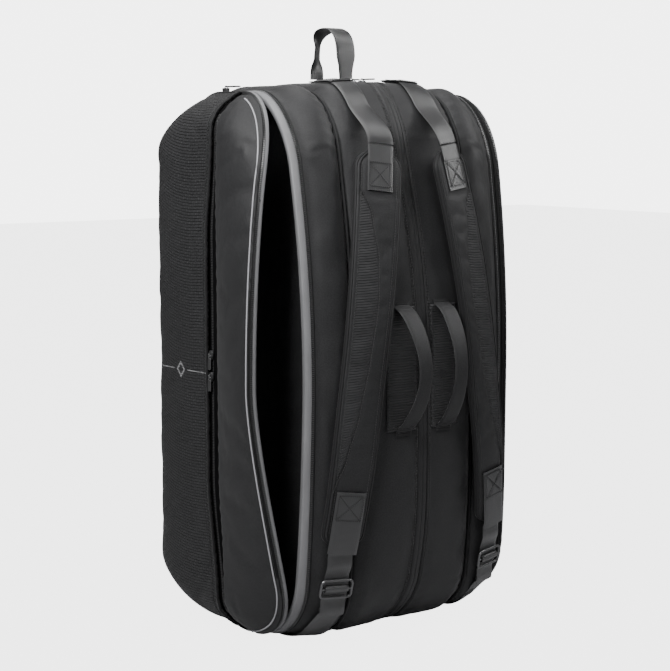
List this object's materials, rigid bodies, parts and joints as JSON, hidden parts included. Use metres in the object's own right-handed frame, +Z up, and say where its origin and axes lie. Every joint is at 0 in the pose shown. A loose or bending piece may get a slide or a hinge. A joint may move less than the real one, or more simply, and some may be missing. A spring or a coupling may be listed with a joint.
{
  "type": "racket tournament bag",
  "caption": "Upright padded racket bag with domed zipped side lids, a zipped middle compartment, shoulder straps, carry handles and a top grab loop.",
  "frame": {"origin": "middle of the flat base board's underside, on the ground", "axes": "+Z up along the bag's length as it stands, -Y out of the harness side with the shoulder straps, -X the side of the half-open compartment"},
  "size_m": [0.4932, 0.3837, 0.8599],
  "materials": {
    "smooth_fabric": "matt neoprene-like polyester",
    "ribbed_fabric": "ribbed polyester weave",
    "lining": "plain woven lining",
    "binding": "light grey grosgrain and reflective piping",
    "zip_tape": "black coil zip",
    "webbing": "satin polyamide webbing",
    "strap_foam": "fabric-covered foam",
    "black_metal": "dark painted zinc",
    "board": "stiff moulded board under fabric"
  },
  "bodies": {
    "bag": {"base_board": "board", "centre_zip_chain": "zip_tape", "grab_loop_patch": "webbing", "harness_panel_left": "smooth_fabric", "harness_panel_right": "smooth_fabric", "left_divider": "lining", "left_handle_backing": "ribbed_fabric", "left_hinge_strip": "lining", "left_lower_webbing": "webbing", "left_pod_shell": "smooth_fabric", "left_pod_zip_tape": "binding", "left_top_webbing": "webbing", "rear_panel": "ribbed_fabric", "right_divider": "lining", "right_handle_backing": "ribbed_fabric", "right_hinge_strip": "lining", "right_lower_webbing": "webbing", "right_pod_shell": "smooth_fabric", "right_pod_zip_tape": "binding", "right_top_webbing": "webbing"},
    "left_lid": {"left_lid_gusset": "smooth_fabric", "left_lid_side_panel": "ribbed_fabric", "left_lid_zip_tape": "binding", "left_pocket_zip": "zip_tape", "left_pocket_liner": "lining"},
    "right_lid": {"right_lid_gusset": "smooth_fabric", "right_lid_side_panel": "ribbed_fabric", "right_lid_zip_tape": "binding", "right_pocket_zip": "zip_tape", "right_pocket_liner": "lining"},
    "left_strap": {"left_strap_pad": "strap_foam", "left_strap_top_tab": "webbing", "left_strap_tail": "webbing"},
    "left_adjuster": {"left_adjuster_buckle": "black_metal"},
    "left_handle": {"left_carry_handle": "smooth_fabric"},
    "right_strap": {"right_strap_pad": "strap_foam", "right_strap_top_tab": "webbing", "right_strap_tail": "webbing"},
    "right_adjuster": {"right_adjuster_buckle": "black_metal"},
    "right_handle": {"right_carry_handle": "smooth_fabric"},
    "grab_loop": {"grab_loop": "webbing"},
    "left_zip_top_slider": {"left_zip_top_slider": "black_metal"},
    "left_zip_top_slider_pull": {"left_zip_top_slider_pull": "black_metal"},
    "left_zip_bottom_slider": {"left_zip_bottom_slider": "black_metal"},
    "left_zip_bottom_slider_pull": {"left_zip_bottom_slider_pull": "black_metal"},
    "right_zip_rear_slider": {"right_zip_rear_slider": "black_metal"},
    "right_zip_rear_slider_pull": {"right_zip_rear_slider_pull": "black_metal"},
    "right_zip_front_slider": {"right_zip_front_slider": "black_metal"},
    "right_zip_front_slider_pull": {"right_zip_front_slider_pull": "black_metal"},
    "centre_zip_front_slider": {"centre_zip_front_slider": "black_metal"},
    "centre_zip_front_slider_pull": {"centre_zip_front_slider_pull": "black_metal"},
    "centre_zip_rear_slider": {"centre_zip_rear_slider": "black_metal"},
    "centre_zip_rear_slider_pull": {"centre_zip_rear_slider_pull": "black_metal"},
    "left_pocket_upper_slider": {"left_pocket_upper_slider": "black_metal"},
    "left_pocket_upper_slider_pull": {"left_pocket_upper_slider_pull": "black_metal"},
    "left_pocket_lower_slider": {"left_pocket_lower_slider": "black_metal"},
    "left_pocket_lower_slider_pull": {"left_pocket_lower_slider_pull": "black_metal"},
    "right_pocket_slider": {"right_pocket_slider": "black_metal"},
    "right_pocket_slider_pull": {"right_pocket_slider_pull": "black_metal"}
  },
  "joints": [
    {"name": "left_lid_hinge", "type": "hinge", "parent": "bag", "child": "left_lid", "pos_m": [-0.177, 0.158, 0.38], "axis": [0, 0, -1], "range_deg": [0, 50]},
    {"name": "right_lid_hinge", "type": "hinge", "parent": "bag", "child": "right_lid", "pos_m": [0.177, 0.158, 0.37], "axis": [0, 0, 1], "range_deg": [0, 50]},
    {"name": "left_strap_lift", "type": "hinge", "parent": "bag", "child": "left_strap", "pos_m": [-0.06039, -0.13548, 0.694], "axis": [-1, 0, 0], "range_deg": [0, 10], "deforming": ["left_lower_webbing"]},
    {"name": "left_adjuster_slide", "type": "slide", "parent": "left_strap", "child": "left_adjuster", "axis": [0.0293, -0.2068, 0.9779], "range_m": [-0.022, 0.03]},
    {"name": "left_handle_swing", "type": "hinge", "parent": "bag", "child": "left_handle", "pos_m": [-0.036, -0.16124, 0.387], "axis": [0, 0, -1], "range_deg": [-10, 10]},
    {"name": "right_strap_lift", "type": "hinge", "parent": "bag", "child": "right_strap", "pos_m": [0.06039, -0.13548, 0.694], "axis": [-1, 0, 0], "range_deg": [0, 10], "deforming": ["right_lower_webbing"]},
    {"name": "right_adjuster_slide", "type": "slide", "parent": "right_strap", "child": "right_adjuster", "axis": [-0.0293, -0.2068, 0.9779], "range_m": [-0.022, 0.03]},
    {"name": "right_handle_swing", "type": "hinge", "parent": "bag", "child": "right_handle", "pos_m": [0.036, -0.16124, 0.387], "axis": [0, 0, 1], "range_deg": [-10, 10]},
    {"name": "grab_loop_swing", "type": "hinge", "parent": "bag", "child": "grab_loop", "pos_m": [0, 0.055, 0.7824], "axis": [0, 1, 0], "range_deg": [-25, 25]},
    {"name": "left_zip_top_slider_run", "type": "hinge", "parent": "bag", "child": "left_zip_top_slider", "pos_m": [-0.17999, 0.06105, 0.667], "axis": [-0.9995, 0.0308, 0], "range_deg": [0, 60]},
    {"name": "left_zip_top_slider_pull_swing", "type": "hinge", "parent": "left_zip_top_slider", "child": "left_zip_top_slider_pull", "pos_m": [-0.18002, 0.06005, 0.7723], "axis": [-0.9995, 0.0308, 0], "range_deg": [0, 100]},
    {"name": "left_zip_bottom_slider_run", "type": "slide", "parent": "bag", "child": "left_zip_bottom_slider", "axis": [0.0308, 0.9995, 0], "range_m": [-0.02, 0.045]},
    {"name": "left_zip_bottom_slider_pull_swing", "type": "hinge", "parent": "left_zip_bottom_slider", "child": "left_zip_bottom_slider_pull", "pos_m": [-0.18196, -0.00305, 0.003], "axis": [-0.9995, 0.0308, 0], "range_deg": [0, 100]},
    {"name": "right_zip_rear_slider_run", "type": "hinge", "parent": "bag", "child": "right_zip_rear_slider", "pos_m": [0.17999, 0.06105, 0.667], "axis": [-0.9995, -0.0308, 0], "range_deg": [0, 60]},
    {"name": "right_zip_rear_slider_pull_swing", "type": "hinge", "parent": "right_zip_rear_slider", "child": "right_zip_rear_slider_pull", "pos_m": [0.18002, 0.06005, 0.7723], "axis": [0.9995, 0.0308, 0], "range_deg": [0, 110]},
    {"name": "right_zip_front_slider_run", "type": "slide", "parent": "bag", "child": "right_zip_front_slider", "axis": [0.0308, -0.9995, 0], "range_m": [0, 0.022]},
    {"name": "right_zip_front_slider_pull_swing", "type": "hinge", "parent": "right_zip_front_slider", "child": "right_zip_front_slider_pull", "pos_m": [0.18069, 0.03806, 0.7723], "axis": [-0.9995, -0.0308, 0], "range_deg": [0, 110]},
    {"name": "centre_zip_front_slider_run", "type": "slide", "parent": "bag", "child": "centre_zip_front_slider", "axis": [0, -1, 0], "range_m": [0, 0.03]},
    {"name": "centre_zip_front_slider_pull_swing", "type": "hinge", "parent": "centre_zip_front_slider", "child": "centre_zip_front_slider_pull", "pos_m": [0, -0.018, 0.7842], "axis": [-1, 0, 0], "range_deg": [0, 110]},
    {"name": "centre_zip_rear_slider_run", "type": "slide", "parent": "bag", "child": "centre_zip_rear_slider", "axis": [0, -1, 0], "range_m": [0, 0.004]},
    {"name": "centre_zip_rear_slider_pull_swing", "type": "hinge", "parent": "centre_zip_rear_slider", "child": "centre_zip_rear_slider_pull", "pos_m": [0, 0.003, 0.7842], "axis": [-1, 0, 0], "range_deg": [0, 110]},
    {"name": "left_pocket_upper_slider_run", "type": "slide", "parent": "left_lid", "child": "left_pocket_upper_slider", "axis": [0, 0, 1], "range_m": [0, 0.14]},
    {"name": "left_pocket_upper_slider_pull_swing", "type": "hinge", "parent": "left_pocket_upper_slider", "child": "left_pocket_upper_slider_pull", "pos_m": [-0.24289, 0.01039, 0.404], "axis": [-0.0682, 0.9977, 0], "range_deg": [0, 100]},
    {"name": "left_pocket_lower_slider_run", "type": "slide", "parent": "left_lid", "child": "left_pocket_lower_slider", "axis": [0, 0, -1], "range_m": [0, 0.14]},
    {"name": "left_pocket_lower_slider_pull_swing", "type": "hinge", "parent": "left_pocket_lower_slider", "child": "left_pocket_lower_slider_pull", "pos_m": [-0.24289, 0.01032, 0.374], "axis": [-0.0676, 0.9977, 0], "range_deg": [0, 100]},
    {"name": "right_pocket_slider_run", "type": "slide", "parent": "right_lid", "child": "right_pocket_slider", "axis": [0, 0, 1], "range_m": [-0.14, 0.14]},
    {"name": "right_pocket_slider_pull_swing", "type": "hinge", "parent": "right_pocket_slider", "child": "right_pocket_slider_pull", "pos_m": [0.23757, 0.01007, 0.39], "axis": [-0.0896, -0.996, 0], "range_deg": [0, 100]}
  ]
}
